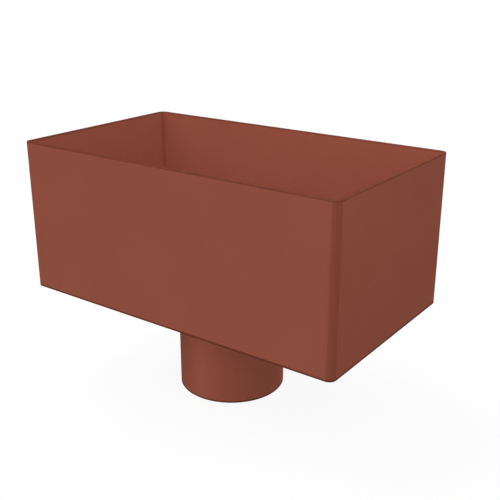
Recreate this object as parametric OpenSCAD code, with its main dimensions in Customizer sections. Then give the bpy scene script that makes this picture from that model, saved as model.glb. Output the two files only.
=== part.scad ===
// Rainwater hopper head for a round downpipe.
// An open box: a sheet strip folded round four corners, a flat base plate set flush inside
// its lower edge, and a round outlet tube welded under the hole in the base.
// Millimetres, +Z up. The front faces -Y and the back, which goes against the wall, faces +Y.
// The origin is the centre of the outlet's lower end.

/* [Box] */
// Outside width of the box, side to side
box_w = 350; // [250:5:500]
// Outside depth of the box, front to back
box_d = 200; // [160:5:300]
// Height of the folded strip, from its lower edge to the rim
wall_h = 150; // [80:5:250]
// Thickness of the folded strip
wall_t = 4; // [1.5:0.5:6]
// Inside radius of the four folds
fold_r = 3; // [1:0.5:12]

/* [Base] */
// Thickness of the base plate
base_t = 4; // [1.5:0.5:6]

/* [Outlet] */
// Inside diameter of the outlet tube
outlet_bore = 100; // [60:1:120]
// Wall thickness of the outlet tube
outlet_t = 3; // [1.5:0.5:4]
// Length of the outlet tube below the base
outlet_l = 95; // [50:5:150]

/* [Hidden] */
// Smoothness of the curves
$fn = 96;
// Copper-brown coating
coating = "#884d3d";
// Inside of the box, which the base plate fills
inner_w = box_w - 2 * wall_t;
inner_d = box_d - 2 * wall_t;
// Height of the strip's lower edge and the base plate's underside, where the outlet tube ends
base_z = outlet_l;
// Radius of the way out, through the base plate and down the tube, and of the tube's outside
bore_r = outlet_bore / 2;
tube_r = bore_r + outlet_t;

// Plan of a folded rectangle: straight sides with a round at each corner
module fold_plan(w, d, r) {
    square([w - 2 * r, d], center = true);
    square([w, d - 2 * r], center = true);
    for (x = [-1, 1], y = [-1, 1])
        translate([x * (w / 2 - r), y * (d / 2 - r)])
            circle(r = r);
}

// The strip, folded to inside and outside radii about the same centres
module wall_band() {
    color(coating)
        translate([0, 0, base_z])
            linear_extrude(wall_h)
                difference() {
                    fold_plan(box_w, box_d, fold_r + wall_t);
                    fold_plan(inner_w, inner_d, fold_r);
                }
}

// The plate that closes the strip's lower end, with a hole as wide as the tube's bore
module base_plate() {
    color(coating)
        translate([0, 0, base_z])
            linear_extrude(base_t)
                difference() {
                    fold_plan(inner_w, inner_d, fold_r);
                    circle(r = bore_r);
                }
}

// The tube, its upper end square against the underside of the base plate
module outlet_spigot() {
    color(coating)
        linear_extrude(outlet_l)
            difference() {
                circle(r = tube_r);
                circle(r = bore_r);
            }
}

wall_band();
base_plate();
outlet_spigot();
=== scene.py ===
"""Looks of a rainwater hopper head: an open box of folded sheet with a round outlet, in a satin coating."""

import logging
import math
from dataclasses import dataclass
from enum import Enum
from typing import Any, Mapping, Sequence, Union

import bmesh
import bpy
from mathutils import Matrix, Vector


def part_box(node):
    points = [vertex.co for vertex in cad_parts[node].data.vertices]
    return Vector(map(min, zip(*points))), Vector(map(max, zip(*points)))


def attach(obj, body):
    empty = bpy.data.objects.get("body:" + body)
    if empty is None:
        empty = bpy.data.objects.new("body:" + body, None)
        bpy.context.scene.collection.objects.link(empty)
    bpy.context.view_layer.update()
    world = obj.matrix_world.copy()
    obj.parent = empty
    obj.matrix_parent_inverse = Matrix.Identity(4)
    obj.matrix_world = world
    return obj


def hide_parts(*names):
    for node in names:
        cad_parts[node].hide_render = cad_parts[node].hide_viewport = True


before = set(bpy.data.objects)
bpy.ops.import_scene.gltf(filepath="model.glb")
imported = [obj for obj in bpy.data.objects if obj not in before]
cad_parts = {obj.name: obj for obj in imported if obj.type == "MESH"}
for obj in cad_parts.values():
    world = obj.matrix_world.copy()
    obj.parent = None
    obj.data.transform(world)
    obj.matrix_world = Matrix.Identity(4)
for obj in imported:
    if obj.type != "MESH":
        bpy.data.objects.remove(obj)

LOG = logging.getLogger("hopper_head")
MM = 0.001
QUARTER_TURN = math.radians(90.0)
DIAGONAL = math.sqrt(0.5)
BODY = "root"
# The mesh attribute of painted shade on edges, folds, rims, joints and weld valleys, which also roughens the
# coating and takes its gloss away there
PAINTED_SHADE_ATTRIBUTE = "painted_edge_shade"
# The painted shade of an edge fades into a flat face over this length, and a narrow face carries it all over
FEATHER = 0.9 * MM
NARROW_FACE = 6.0 * MM
# A fold's painted shade leaves out this many steps at each end of the bend
FOLD_MARGIN = 2
# How strongly the larger faces set the shading at their corners, from 1 to 100
FLAT_WEIGHT = 100
# A fill light is a little tighter than the other studio lights, in degrees
FILL_SPREAD = 40.0

Colour = tuple[float, float, float, float]
Operand = Union["Signal", float, int]


class MathStep(Enum):
    """The kinds of Math node that shader expressions add."""

    ADD = "ADD"
    SUBTRACT = "SUBTRACT"
    MULTIPLY = "MULTIPLY"


class Bearing(Enum):
    """Where a studio light stands, as degrees round the object from its front towards its right."""

    FRONT_LEFT = -22.0
    FRONT = -4.0
    FRONT_RIGHT = 55.0
    BACK_RIGHT = 133.0
    BACK = 180.0
    LEFT = 270.0


class Signal:
    """A value socket of a node tree, with arithmetic that adds Math nodes."""

    def __init__(self, graph: "Graph", socket: bpy.types.NodeSocket) -> None:
        """Wraps one output socket of the graph."""
        self.graph = graph
        self.socket = socket

    def __add__(self, other: Operand) -> "Signal":
        """Self plus other."""
        return self.graph.math(MathStep.ADD, self, other)

    def __radd__(self, other: Operand) -> "Signal":
        """Other plus self."""
        return self.graph.math(MathStep.ADD, other, self)

    def __sub__(self, other: Operand) -> "Signal":
        """Self less other."""
        return self.graph.math(MathStep.SUBTRACT, self, other)

    def __rsub__(self, other: Operand) -> "Signal":
        """Other less self."""
        return self.graph.math(MathStep.SUBTRACT, other, self)

    def __mul__(self, other: Operand) -> "Signal":
        """Self times other."""
        return self.graph.math(MathStep.MULTIPLY, self, other)

    def __rmul__(self, other: Operand) -> "Signal":
        """Other times self."""
        return self.graph.math(MathStep.MULTIPLY, other, self)

    def held(self) -> "Signal":
        """Self held between 0 and 1."""
        return self.graph.math(MathStep.ADD, self, 0.0, clamp=True)


class Graph:
    """The node tree of a material or of the world."""

    # A Mix node has a set of sockets for each kind of value, so its colour sockets go by number
    MIX_FACTOR = 0
    MIX_FIRST_COLOUR = 6
    MIX_SECOND_COLOUR = 7
    MIX_COLOUR = 2

    def __init__(self, tree: bpy.types.NodeTree) -> None:
        """Takes an owner's tree and empties it."""
        self.tree = tree
        self.tree.nodes.clear()

    def node(
        self,
        kind: str,
        settings: Mapping[str, Any] | None = None,
        inputs: Mapping[str | int, Any] | None = None,
    ) -> bpy.types.Node:
        """Adds a node.

        Args:
            kind: The node's type name.
            settings: Properties of the node, set before its sockets.
            inputs: Values or links of its sockets, by name or number.

        Returns:
            The node.
        """
        made = self.tree.nodes.new(kind)
        for name, value in (settings or {}).items():
            setattr(made, name, value)
        for name, value in (inputs or {}).items():
            source = value.socket if isinstance(value, Signal) else value
            if isinstance(source, bpy.types.NodeSocket):
                self.tree.links.new(source, made.inputs[name])
            else:
                made.inputs[name].default_value = source
        return made

    def math(self, step: MathStep, first: Operand, second: Operand, clamp: bool = False) -> Signal:
        """Adds one Math node.

        Args:
            step: What the node does.
            first: Its first value.
            second: Its second value.
            clamp: Whether the result is held between 0 and 1.

        Returns:
            The result.
        """
        settings = {"operation": step.value, "use_clamp": clamp}
        made = self.node("ShaderNodeMath", settings, {0: first, 1: second})
        return Signal(self, made.outputs[0])

    def mixed(self, share: Operand, first: Any, second: Any) -> bpy.types.NodeSocket:
        """Mixes two colours.

        Args:
            share: How much of the second colour shows, from 0 to 1.
            first: A colour or a link.
            second: A colour or a link.

        Returns:
            The mixed colour.
        """
        inputs = {self.MIX_FACTOR: share, self.MIX_FIRST_COLOUR: first, self.MIX_SECOND_COLOUR: second}
        made = self.node("ShaderNodeMix", {"data_type": "RGBA", "clamp_factor": True}, inputs)
        return made.outputs[self.MIX_COLOUR]

    def blended(self, share: Operand, first: bpy.types.Node, second: bpy.types.Node) -> bpy.types.Node:
        """Blends two shaders.

        Args:
            share: How much of the second shader shows, from 0 to 1.
            first: A shader node.
            second: A shader node.

        Returns:
            The node that blends them.
        """
        inputs = {0: share, 1: first.outputs[0], 2: second.outputs[0]}
        return self.node("ShaderNodeMixShader", {}, inputs)

    def noise(self, where: bpy.types.NodeSocket, scale: float, detail: float) -> Signal:
        """Adds a noise texture.

        Args:
            where: The coordinates, in metres.
            scale: Cells in a metre.
            detail: How many finer layers it has.

        Returns:
            A value from 0 to 1, about 0.5 on average.
        """
        inputs = {"Vector": where, "Scale": scale, "Detail": detail}
        return Signal(self, self.node("ShaderNodeTexNoise", {}, inputs).outputs["Fac"])

    def seen(self) -> Signal:
        """Gives 1 where the camera sees a surface, straight or by reflection or through glass."""
        path = self.node("ShaderNodeLightPath").outputs
        names = ("Is Camera Ray", "Is Glossy Ray", "Is Transmission Ray")
        camera, glossy, through = (Signal(self, path[name]) for name in names)
        return (camera + glossy + through).held()


@dataclass(frozen=True)
class SatinCoating:
    """A copper-brown satin powder coating on sheet metal.

    A scale is in cells to the metre and a detail is a count of finer layers. The other cloud, mottle and
    grain numbers say how far that pattern moves the colour or the roughness.
    """

    name: str = "satin_coating"
    lean: Colour = (0.228, 0.0635, 0.0395, 1.0)
    full: Colour = (0.254, 0.0735, 0.0465, 1.0)
    # Painted shade: the darker colour laid on edges, folds, rims, joints and weld valleys
    edge: Colour = (0.114, 0.0305, 0.0188, 1.0)
    cloud_scale: float = 13.0
    cloud_detail: float = 2.0
    mottle_scale: float = 150.0
    mottle_detail: float = 3.0
    peel_scale: float = 520.0
    peel_detail: float = 1.0
    grain_scale: float = 1500.0
    grain_detail: float = 2.0
    cloud_colour: float = 1.1
    mottle_colour: float = 0.5
    grain_colour: float = 0.4
    # How much of the painted shade colour shows where the mask is full, and how far the mottle moves it
    painted_shade_least: float = 0.75
    painted_shade_mottle: float = 0.5
    roughness: float = 0.55
    cloud_roughness: float = 0.08
    mottle_roughness: float = 0.10
    edge_roughness: float = 0.05
    gloss_weight: float = 0.04
    gloss_roughness: float = 0.34
    peel_height: float = 0.05 * MM
    peel_strength: float = 0.45
    peel_grain: float = 0.25

    def material(self) -> bpy.types.Material:
        """Builds the coating's nodes.

        Returns:
            The material, with cloudy colour, painted shade on edges and folds, and a fine orange peel.
        """
        made = bpy.data.materials.new(self.name)
        made.use_nodes = True
        graph = Graph(made.node_tree)
        where = graph.node("ShaderNodeTexCoord").outputs["Object"]
        cloud = graph.noise(where, self.cloud_scale, self.cloud_detail)
        mottle = graph.noise(where, self.mottle_scale, self.mottle_detail)
        peel = graph.noise(where, self.peel_scale, self.peel_detail)
        grain = graph.noise(where, self.grain_scale, self.grain_detail)
        # The mask of painted shade that each piece carries
        attribute = graph.node("ShaderNodeAttribute", {"attribute_name": PAINTED_SHADE_ATTRIBUTE})
        edge = Signal(graph, attribute.outputs["Fac"])

        uneven = (
            self.cloud_colour * (cloud - 0.5)
            + self.mottle_colour * (mottle - 0.5)
            + self.grain_colour * (grain - 0.5)
        )
        skin = graph.mixed((0.5 + uneven).held(), self.lean, self.full)
        # How much painted shade covers the coating's colour, made uneven by the mottle
        painted_shade_share = (edge * (self.painted_shade_least + self.painted_shade_mottle * mottle)).held()
        rough = (
            self.roughness
            + self.cloud_roughness * (cloud - 0.5)
            + self.mottle_roughness * (mottle - 0.5)
            + self.edge_roughness * edge
        )
        height = (1 - self.peel_grain) * peel + self.peel_grain * grain
        relief = graph.node(
            "ShaderNodeBump",
            {},
            {"Strength": self.peel_strength, "Distance": self.peel_height, "Height": height},
        )
        # The gloss is the thin clear coat's alone, so light that grazes a wall leaves no pale veil
        shader = graph.node(
            "ShaderNodeBsdfPrincipled",
            {},
            {
                # The coating's colour, darkened with painted shade where the mask says
                "Base Color": graph.mixed(painted_shade_share, skin, self.edge),
                "Roughness": rough,
                "Specular IOR Level": 0.0,
                "Coat Weight": self.gloss_weight * (1 - edge),
                "Coat Roughness": self.gloss_roughness,
                "Normal": relief.outputs["Normal"],
            },
        )
        graph.node("ShaderNodeOutputMaterial", {}, {"Surface": shader.outputs["BSDF"]})
        return made


@dataclass(frozen=True)
class Point:
    """A point of a piece's surface and how much painted shade it carries."""

    place: Vector
    edge: float


@dataclass(frozen=True)
class Stop:
    """A place on the plan of a folded rectangle, the direction straight out of it, and 1 within a fold,
    where painted shade goes.
    """

    x: float
    y: float
    out_x: float
    out_y: float
    fold: float


@dataclass(frozen=True)
class Corner:
    """A corner of a flat section before it is rounded.

    It has a radius, how much painted shade it carries, and how far that painted shade runs onto a wide face
    beside it.
    """

    across: float
    up: float
    radius: float
    # Painted shade: a corner is fully darkened unless it is given less
    edge: float = 1.0
    reach: float = 0.0

    @property
    def spot(self) -> Vector:
        """The corner as a flat vector."""
        return Vector((self.across, self.up))


@dataclass(frozen=True)
class SectionPoint:
    """A point of a flat section and how much painted shade it carries."""

    across: float
    up: float
    edge: float


def folded_plan(width: float, depth: float, radius: float, run_step: float, fold_steps: int) -> list[Stop]:
    """Walks round a rectangle with rounded corners, anticlockwise from the front right corner.

    Args:
        width: Its size from side to side.
        depth: Its size from front to back.
        radius: The radius of its corners.
        run_step: The longest step along a straight side.
        fold_steps: Steps round each corner.

    Returns:
        The stops, in order.
    """
    stops: list[Stop] = []
    half_w = width / 2 - radius
    half_d = depth / 2 - radius
    centres = [(half_w, -half_d), (half_w, half_d), (-half_w, half_d), (-half_w, -half_d)]
    for turn, (centre_x, centre_y) in enumerate(centres):
        for step in range(fold_steps + 1):
            angle = QUARTER_TURN * (turn - 1 + step / fold_steps)
            out_x, out_y = math.cos(angle), math.sin(angle)
            fold = 1.0 if FOLD_MARGIN <= step <= fold_steps - FOLD_MARGIN else 0.0
            stops.append(Stop(centre_x + radius * out_x, centre_y + radius * out_y, out_x, out_y, fold))
        last = stops[-1]
        along_x, along_y = -last.out_y, last.out_x
        flat = 2 * (half_d if turn % 2 == 0 else half_w) - 2 * FEATHER
        parts = max(2, math.ceil(flat / run_step))
        for part in range(parts + 1):
            mark = FEATHER + flat * part / parts
            stops.append(Stop(last.x + along_x * mark, last.y + along_y * mark, last.out_x, last.out_y, 0.0))
    return stops


def rounded_section(corners: Sequence[Corner], row_step: float, round_steps: int) -> list[SectionPoint]:
    """Rounds the corners of a rectangular section and adds rows along its sides.

    Args:
        corners: The four corners, in order round the section.
        row_step: The longest step along a side.
        round_steps: Steps round each corner.

    Returns:
        The section's points, in the corners' order.
    """
    points: list[SectionPoint] = []
    for index, corner in enumerate(corners):
        before = corners[index - 1]
        after = corners[(index + 1) % len(corners)]
        back = (before.spot - corner.spot).normalized()
        ahead = (after.spot - corner.spot).normalized()
        middle = corner.spot + (back + ahead) * corner.radius
        for step in range(round_steps + 1):
            angle = QUARTER_TURN * step / round_steps
            spot = middle - corner.radius * (ahead * math.cos(angle) + back * math.sin(angle))
            points.append(SectionPoint(spot.x, spot.y, corner.edge))
        start = corner.spot + ahead * corner.radius
        side = (after.spot - ahead * after.radius - start).length
        if side <= NARROW_FACE:
            continue
        flat = side - corner.reach - after.reach - 2 * FEATHER
        parts = max(1, math.ceil(flat / row_step))
        marks = [(corner.reach + FEATHER + flat * part / parts, 0.0) for part in range(parts + 1)]
        # A corner's painted shade runs flat onto the wide face beside it, as far as its reach
        if corner.reach:
            marks.insert(0, (corner.reach, corner.edge))
        if after.reach:
            marks.append((side - after.reach, after.edge))
        for mark, edge in marks:
            spot = start + ahead * mark
            points.append(SectionPoint(spot.x, spot.y, edge))
    return points


def turned(angle: float, radius: float, height: float) -> Vector:
    """Gives the point at an angle, radius and height about the outlet's axis."""
    return Vector((radius * math.cos(angle), radius * math.sin(angle), height))


def ring_piece(name: str, sections: Sequence[Sequence[Point]]) -> bpy.types.Object:
    """Skins a closed ring of closed sections into a new object.

    Args:
        name: The piece's name.
        sections: The sections in order round the ring, with as many points each.

    Returns:
        The object, smooth shaded, with its painted shade as an attribute.
    """
    work = bmesh.new()
    rows = [[work.verts.new(point.place) for point in section] for section in sections]
    for index, row in enumerate(rows):
        following = rows[(index + 1) % len(rows)]
        for spot in range(len(row)):
            after = (spot + 1) % len(row)
            work.faces.new((row[spot], following[spot], following[after], row[after]))
    bmesh.ops.recalc_face_normals(work, faces=work.faces)
    mesh = bpy.data.meshes.new(name)
    work.to_mesh(mesh)
    work.free()
    # Each point's painted shade goes onto the mesh for the coating to read
    painted_shades = [point.edge for section in sections for point in section]
    mesh.attributes.new(PAINTED_SHADE_ATTRIBUTE, "FLOAT", "POINT").data.foreach_set("value", painted_shades)
    mesh.shade_smooth()
    made = bpy.data.objects.new(name, mesh)
    bpy.context.scene.collection.objects.link(made)
    flats = made.modifiers.new("flat_faces_stay_flat", "WEIGHTED_NORMAL")
    flats.mode = "FACE_AREA"
    flats.weight = FLAT_WEIGHT
    return made


def dress(piece: bpy.types.Object, coating: bpy.types.Material) -> bpy.types.Object:
    """Gives a piece its coating and hangs it on the hopper's body.

    Args:
        piece: The piece.
        coating: Its material.

    Returns:
        The piece.
    """
    piece.data.materials.append(coating)
    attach(piece, BODY)
    return piece


@dataclass
class FoldedBand:
    """The strip of sheet that is folded round four corners into the hopper's walls."""

    width: float
    depth: float
    foot: float
    rim: float
    sheet: float
    fold_inside: float = 3.0 * MM
    cut_edge: float = 0.6 * MM
    foot_line: float = 1.0 * MM
    joint_edge: float = 0.35 * MM
    # Painted shade on the rim's top, in the crease where the band meets the base, and down each fold
    rim_painted_shade: float = 0.8
    joint_painted_shade: float = 0.3
    fold_painted_shade: float = 0.29
    run_step: float = 25.0 * MM
    row_step: float = 15.0 * MM
    fold_steps: int = 16
    round_steps: int = 4

    @classmethod
    def measured(cls) -> "FoldedBand":
        """Takes the band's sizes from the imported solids."""
        low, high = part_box("wall_band")
        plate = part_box("base_plate")[1]
        return cls(high.x - low.x, high.y - low.y, low.z, high.z, high.x - plate.x)

    def section(self) -> list[SectionPoint]:
        """Gives the sheet's section, as depth into the wall and height."""
        corners = [
            # The cut foot keeps full painted shade, and the rim and the inside foot take their own
            Corner(0.0, self.foot, self.cut_edge, reach=self.foot_line),
            Corner(0.0, self.rim, self.cut_edge, self.rim_painted_shade),
            Corner(self.sheet, self.rim, self.cut_edge, self.rim_painted_shade),
            Corner(self.sheet, self.foot, self.joint_edge, self.joint_painted_shade),
        ]
        return rounded_section(corners, self.row_step, self.round_steps)

    def placed(self, stop: Stop, point: SectionPoint) -> Point:
        """Sets a section's point at a stop of the plan, with the stronger of their painted shades.

        Args:
            stop: The place on the outside of the box.
            point: The section's point.

        Returns:
            The point in the frame.
        """
        x = stop.x - stop.out_x * point.across
        y = stop.y - stop.out_y * point.across
        return Point(Vector((x, y, point.up)), max(point.edge, self.fold_painted_shade * stop.fold))

    def build(self, coating: bpy.types.Material) -> bpy.types.Object:
        """Folds the strip round the box's plan.

        Args:
            coating: The material.

        Returns:
            The piece.
        """
        radius = self.fold_inside + self.sheet
        plan = folded_plan(self.width, self.depth, radius, self.run_step, self.fold_steps)
        section = self.section()
        piece = ring_piece("folded_band", [[self.placed(stop, point) for point in section] for stop in plan])
        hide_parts("wall_band")
        return dress(piece, coating)


@dataclass
class BasePanel:
    """The flat plate that closes the band's lower end, with the outlet's hole."""

    width: float
    depth: float
    underside: float
    top: float
    bore: float
    corner: float = 3.0 * MM
    joint_edge: float = 0.35 * MM
    hole_edge: float = 0.9 * MM
    hole_foot: float = 0.2 * MM
    # Painted shade round the plate's outline, at its joint with the band, and round its hole
    painted_edge_shade: float = 0.6
    run_step: float = 5.0 * MM
    corner_steps: int = 8
    round_steps: int = 4

    @classmethod
    def measured(cls, bore: float) -> "BasePanel":
        """Takes the plate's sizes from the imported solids, and its hole from the outlet's bore."""
        low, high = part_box("base_plate")
        return cls(high.x - low.x, high.y - low.y, low.z, high.z, bore)

    def section(self, stop: Stop) -> list[Point]:
        """Cuts the plate from its outline to the hole, on the line to the hole's centre.

        Args:
            stop: The place on the outline.

        Returns:
            The section's points in the frame.
        """
        reach = math.hypot(stop.x, stop.y)
        span = reach - self.bore
        corners = [
            Corner(0.0, self.underside, self.joint_edge, self.painted_edge_shade),
            Corner(0.0, self.top, self.joint_edge, self.painted_edge_shade),
            Corner(span, self.top, self.hole_edge, self.painted_edge_shade),
            Corner(span, self.underside, self.hole_foot, self.painted_edge_shade),
        ]
        points: list[Point] = []
        for point in rounded_section(corners, math.inf, self.round_steps):
            share = 1 - point.across / reach
            points.append(Point(Vector((stop.x * share, stop.y * share, point.up)), point.edge))
        return points

    def build(self, coating: bpy.types.Material) -> bpy.types.Object:
        """Joins the plate's outline to its round hole.

        Args:
            coating: The material.

        Returns:
            The piece.
        """
        plan = folded_plan(self.width, self.depth, self.corner, self.run_step, self.corner_steps)
        piece = ring_piece("base_panel", [self.section(stop) for stop in plan])
        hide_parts("base_plate")
        return dress(piece, coating)


@dataclass
class OutletTube:
    """The round tube under the base, which a downpipe slides over."""

    radius: float
    foot: float
    top: float
    wall: float = 3.0 * MM
    cut_edge: float = 0.6 * MM
    foot_line: float = 1.0 * MM
    butt_edge: float = 0.2 * MM
    turns: int = 192
    row_step: float = 12.0 * MM
    round_steps: int = 4

    @classmethod
    def measured(cls) -> "OutletTube":
        """Takes the tube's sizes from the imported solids."""
        low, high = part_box("outlet_spigot")
        return cls((high.y - low.y) / 2, low.z, high.z)

    @property
    def bore(self) -> float:
        """The tube's inside radius."""
        return self.radius - self.wall

    def build(self, coating: bpy.types.Material) -> bpy.types.Object:
        """Turns the tube's section round its axis.

        Args:
            coating: The material.

        Returns:
            The piece.
        """
        # Every corner of the tube's section carries full painted shade
        corners = [
            Corner(self.radius, self.foot, self.cut_edge, reach=self.foot_line),
            Corner(self.radius, self.top, self.butt_edge),
            Corner(self.bore, self.top, self.butt_edge),
            Corner(self.bore, self.foot, self.cut_edge),
        ]
        section = rounded_section(corners, self.row_step, self.round_steps)
        sections: list[list[Point]] = []
        for turn in range(self.turns):
            angle = math.tau * turn / self.turns
            sections.append([Point(turned(angle, point.across, point.up), point.edge) for point in section])
        piece = ring_piece("outlet_tube", sections)
        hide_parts("outlet_spigot")
        return dress(piece, coating)


@dataclass(frozen=True)
class Wander:
    """A slow wave in the size of a weld laid by hand: its share of the size, its count and its start."""

    share: float
    count: int
    start: float = 0.0

    def at(self, angle: float) -> float:
        """Gives the wave's value at an angle round the weld."""
        return self.share * math.sin(self.count * angle + self.start)


@dataclass
class OutletWeld:
    """The fillet weld between the tube and the underside of the base, laid in small overlapping ripples."""

    tube_radius: float
    underside: float
    leg: float = 3.6 * MM
    sunk: float = 0.15 * MM
    bulge: float = 0.55 * MM
    ripple: float = 0.28 * MM
    # Painted shade in the valleys between the ripples
    ripple_fall: float = 1.6
    valley_painted_shade: float = 0.25
    wanders: tuple[Wander, ...] = (Wander(0.05, 3, 0.7), Wander(0.04, 7, 2.1), Wander(0.025, 17))
    ripples: int = 104
    ripple_steps: int = 8
    face_steps: int = 9

    def section(self, angle: float, phase: float) -> list[Point]:
        """Shapes the bead's section at one place.

        Args:
            angle: Where it is round the tube.
            phase: How far it is through a ripple, from 0 to 1.

        Returns:
            The section's points, from the tube to the base and back through the metal.
        """
        leg = self.leg * (1 + sum(wander.at(angle) for wander in self.wanders))
        crest = (1 - phase) ** self.ripple_fall
        profile: list[tuple[float, float]] = []
        for step in range(self.face_steps + 1):
            share = step / self.face_steps
            swell = math.sin(math.pi * share)
            rise = DIAGONAL * (self.bulge * swell + self.ripple * crest * math.sqrt(swell))
            out = leg * share + rise
            down = leg * (1 - share) + rise
            if step == 0:
                out -= self.sunk
            if step == self.face_steps:
                down -= self.sunk
            profile.append((out, down))
        profile.append((-self.sunk, -self.sunk))
        # Darker with painted shade the further a point is from a ripple's crest
        ripple_shade = self.valley_painted_shade * (1 - crest)
        places = [turned(angle, self.tube_radius + out, self.underside - down) for out, down in profile]
        return [Point(place, ripple_shade) for place in places]

    def build(self, coating: bpy.types.Material) -> bpy.types.Object:
        """Lays the bead round the tube.

        Args:
            coating: The material.

        Returns:
            The piece.
        """
        total = self.ripples * self.ripple_steps
        sections: list[list[Point]] = []
        for step in range(total):
            phase = (step % self.ripple_steps) / self.ripple_steps
            sections.append(self.section(math.tau * step / total, phase))
        return dress(ring_piece("outlet_weld", sections), coating)


def direction(azimuth: float, elevation: float) -> Vector:
    """Gives the unit vector from the object towards a place round it.

    Args:
        azimuth: Degrees from the front, towards the right.
        elevation: Degrees above the floor.

    Returns:
        The vector.
    """
    around = math.radians(azimuth)
    above = math.radians(elevation)
    level = math.cos(above)
    return Vector((math.sin(around) * level, -math.cos(around) * level, math.sin(above)))


def put_up(data: bpy.types.Light, place: Vector, facing: Vector | None = None) -> bpy.types.Object:
    """Puts a light up in the scene.

    Args:
        data: The light's settings.
        place: Where it goes.
        facing: The way it shines, for a light that shines one way.

    Returns:
        The light.
    """
    lamp = bpy.data.objects.new(data.name, data)
    lamp.location = place
    if facing is not None:
        lamp.rotation_mode = "QUATERNION"
        lamp.rotation_quaternion = facing.to_track_quat("-Z", "Y")
    bpy.context.scene.collection.objects.link(lamp)
    return lamp


@dataclass(frozen=True)
class StudioLight:
    """A wide soft light a long way off. Its elevation and spread are in degrees."""

    name: str
    bearing: Bearing
    elevation: float
    strength: float
    spread: float = 55.0
    shadow: bool = True
    distance: float = 3.0

    @classmethod
    def fill(cls, name: str, bearing: Bearing, elevation: float, strength: float) -> "StudioLight":
        """Gives a light that casts no shadow, to lift what the box would keep dark.

        Args:
            name: The light's name.
            bearing: Where it stands.
            elevation: Degrees above the floor.
            strength: Its strength.

        Returns:
            The light.
        """
        return cls(name, bearing, elevation, strength, spread=FILL_SPREAD, shadow=False)

    def build(self) -> bpy.types.Object:
        """Stands the light round the object and points it at the object.

        Returns:
            The light.
        """
        data = bpy.data.lights.new(self.name, "SUN")
        data.energy = self.strength
        data.angle = math.radians(self.spread)
        data.use_shadow = self.shadow
        away = direction(self.bearing.value, self.elevation)
        return put_up(data, away * self.distance, -away)


@dataclass(frozen=True)
class HangingLight:
    """A small round lamp that hangs near the object and lightens what is next to it.

    Its place and radius are in metres and its power is in watts.
    """

    name: str
    place: tuple[float, float, float]
    power: float
    radius: float = 40.0 * MM

    def build(self) -> bpy.types.Object:
        """Hangs the lamp in its place.

        Returns:
            The light.
        """
        data = bpy.data.lights.new(self.name, "POINT")
        data.energy = self.power
        data.shadow_soft_size = self.radius
        return put_up(data, Vector(self.place))


@dataclass(frozen=True)
class StripLight:
    """A tall narrow lamp close before the tube, which draws a soft bright band down it.

    Its distance is from the outlet's axis, its middle is above the floor, and its power is in watts.
    """

    name: str = "tube_light"
    azimuth: float = 1.5
    distance: float = 66.0 * MM
    middle: float = 45.0 * MM
    width: float = 4.0 * MM
    height: float = 90.0 * MM
    power: float = 0.0009

    def build(self) -> bpy.types.Object:
        """Stands the lamp before the tube.

        Returns:
            The light.
        """
        data = bpy.data.lights.new(self.name, "AREA")
        data.energy = self.power
        data.shape = "RECTANGLE"
        data.size = self.width
        data.size_y = self.height
        away = direction(self.azimuth, 0.0)
        return put_up(data, away * self.distance + Vector((0.0, 0.0, self.middle)), -away)


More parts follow.
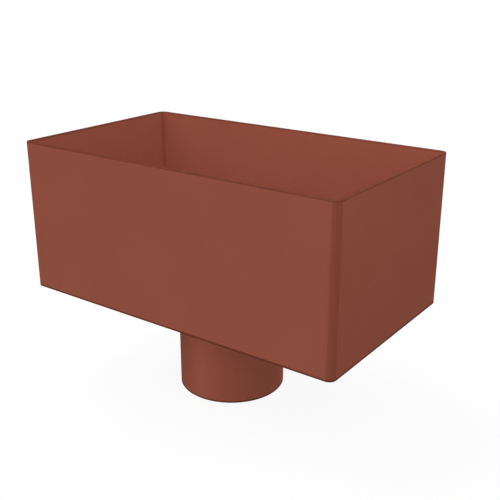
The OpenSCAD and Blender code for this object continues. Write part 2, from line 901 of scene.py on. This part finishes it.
@dataclass
class Studio:
    """A plain white floor and surroundings, soft lights all round and the camera.

    The floor and the surroundings look white, but give back less light, so the coating keeps its colour.
    Angles are in degrees, and the camera stands at a place in metres.
    """

    zenith: float = 0.36
    horizon: float = 0.07
    dome_start: float = 0.15
    dome_rise: float = 3.0
    floor_half: float = 60.0
    floor_bounce: float = 0.14
    floor_pale: float = 0.95
    floor_white: float = 0.90
    azimuth: float = 35.91
    elevation: float = 20.08
    stand: tuple[float, float, float] = (0.4490, -0.5887, 0.4115)
    sensor_mm: float = 36.0
    focal_pixels: float = 800.0
    frame_pixels: float = 500.0
    lights: tuple[StudioLight, ...] = (
        StudioLight("key_light", Bearing.FRONT_LEFT, elevation=40.0, strength=0.65),
        StudioLight("back_light", Bearing.BACK, elevation=25.0, strength=0.6),
        StudioLight("left_light", Bearing.LEFT, elevation=50.0, strength=1.8),
        StudioLight.fill("front_fill", Bearing.FRONT, elevation=12.0, strength=1.75),
        StudioLight.fill("near_fill", Bearing.FRONT_RIGHT, elevation=10.0, strength=0.6),
        StudioLight.fill("side_fill", Bearing.BACK_RIGHT, elevation=10.0, strength=1.7),
    )
    lamps: tuple[HangingLight, ...] = (
        HangingLight("inside_light", place=(0.12, 0.085, 0.40), power=0.65),
        HangingLight("side_light", place=(0.30, -0.09, 0.26), power=0.095),
    )
    strip: StripLight = StripLight()

    def build(self) -> None:
        """Sets up the floor, the surroundings, the lights and the camera."""
        self.floor()
        self.surroundings()
        for light in (*self.lights, *self.lamps, self.strip):
            light.build()
        self.camera()
        bpy.context.scene.view_settings.view_transform = "Standard"

    def floor_paint(self) -> bpy.types.Material:
        """Mixes the floor's paint: white where it is seen, apart from the object's faint shadow.

        Returns:
            The material.
        """
        paint = bpy.data.materials.new("floor_paint")
        paint.use_nodes = True
        graph = Graph(paint.node_tree)
        unseen, pale = (
            graph.node("ShaderNodeBsdfDiffuse", {}, {"Color": (level, level, level, 1.0)})
            for level in (self.floor_bounce, self.floor_pale)
        )
        white = graph.node("ShaderNodeEmission", {}, {"Strength": 1.0})
        shown = graph.blended(self.floor_white, pale, white)
        surface = graph.blended(graph.seen(), unseen, shown)
        graph.node("ShaderNodeOutputMaterial", {}, {"Surface": surface.outputs[0]})
        return paint

    def floor(self) -> None:
        """Lays the floor that the outlet stands on."""
        half = self.floor_half
        corners = [(-half, -half, 0.0), (half, -half, 0.0), (half, half, 0.0), (-half, half, 0.0)]
        mesh = bpy.data.meshes.new("floor")
        mesh.from_pydata(corners, [], [(0, 1, 2, 3)])
        mesh.materials.append(self.floor_paint())
        floor = bpy.data.objects.new("floor", mesh)
        bpy.context.scene.collection.objects.link(floor)

    def surroundings(self) -> None:
        """Makes the surroundings white to look at, and a soft dome of light to the object."""
        world = bpy.data.worlds.new("studio")
        world.use_nodes = True
        bpy.context.scene.world = world
        graph = Graph(world.node_tree)
        low, high, white = (
            graph.node("ShaderNodeBackground", {}, {"Color": (1.0, 1.0, 1.0, 1.0), "Strength": strength})
            for strength in (self.horizon, self.zenith, 1.0)
        )
        where = graph.node("ShaderNodeTexCoord").outputs["Generated"]
        height = Signal(graph, graph.node("ShaderNodeSeparateXYZ", {}, {0: where}).outputs["Z"])
        dome = graph.blended((self.dome_rise * (height - self.dome_start)).held(), low, high)
        surface = graph.blended(graph.seen(), dome, white)
        graph.node("ShaderNodeOutputWorld", {}, {"Surface": surface.outputs[0]})

    def camera(self) -> None:
        """Stands the camera at the photograph's viewing angle."""
        data = bpy.data.cameras.new("camera")
        data.sensor_width = self.sensor_mm
        data.lens = self.sensor_mm * self.focal_pixels / self.frame_pixels
        camera = bpy.data.objects.new("camera", data)
        camera.location = self.stand
        camera.rotation_mode = "QUATERNION"
        camera.rotation_quaternion = (-direction(self.azimuth, self.elevation)).to_track_quat("-Z", "Y")
        bpy.context.scene.collection.objects.link(camera)
        bpy.context.scene.camera = camera


def main() -> None:
    """Builds the hopper head piece by piece, then the studio."""
    logging.basicConfig(level=logging.INFO, format="%(name)s %(message)s")
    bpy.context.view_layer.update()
    coating = SatinCoating().material()
    band = FoldedBand.measured()
    tube = OutletTube.measured()
    base = BasePanel.measured(tube.bore)
    weld = OutletWeld(tube.radius, base.underside)
    for assembly in (band, base, tube, weld):
        piece = assembly.build(coating)
        LOG.info("%s: %d faces", piece.name, len(piece.data.polygons))
    Studio().build()


if __name__ == "__main__":
    main()
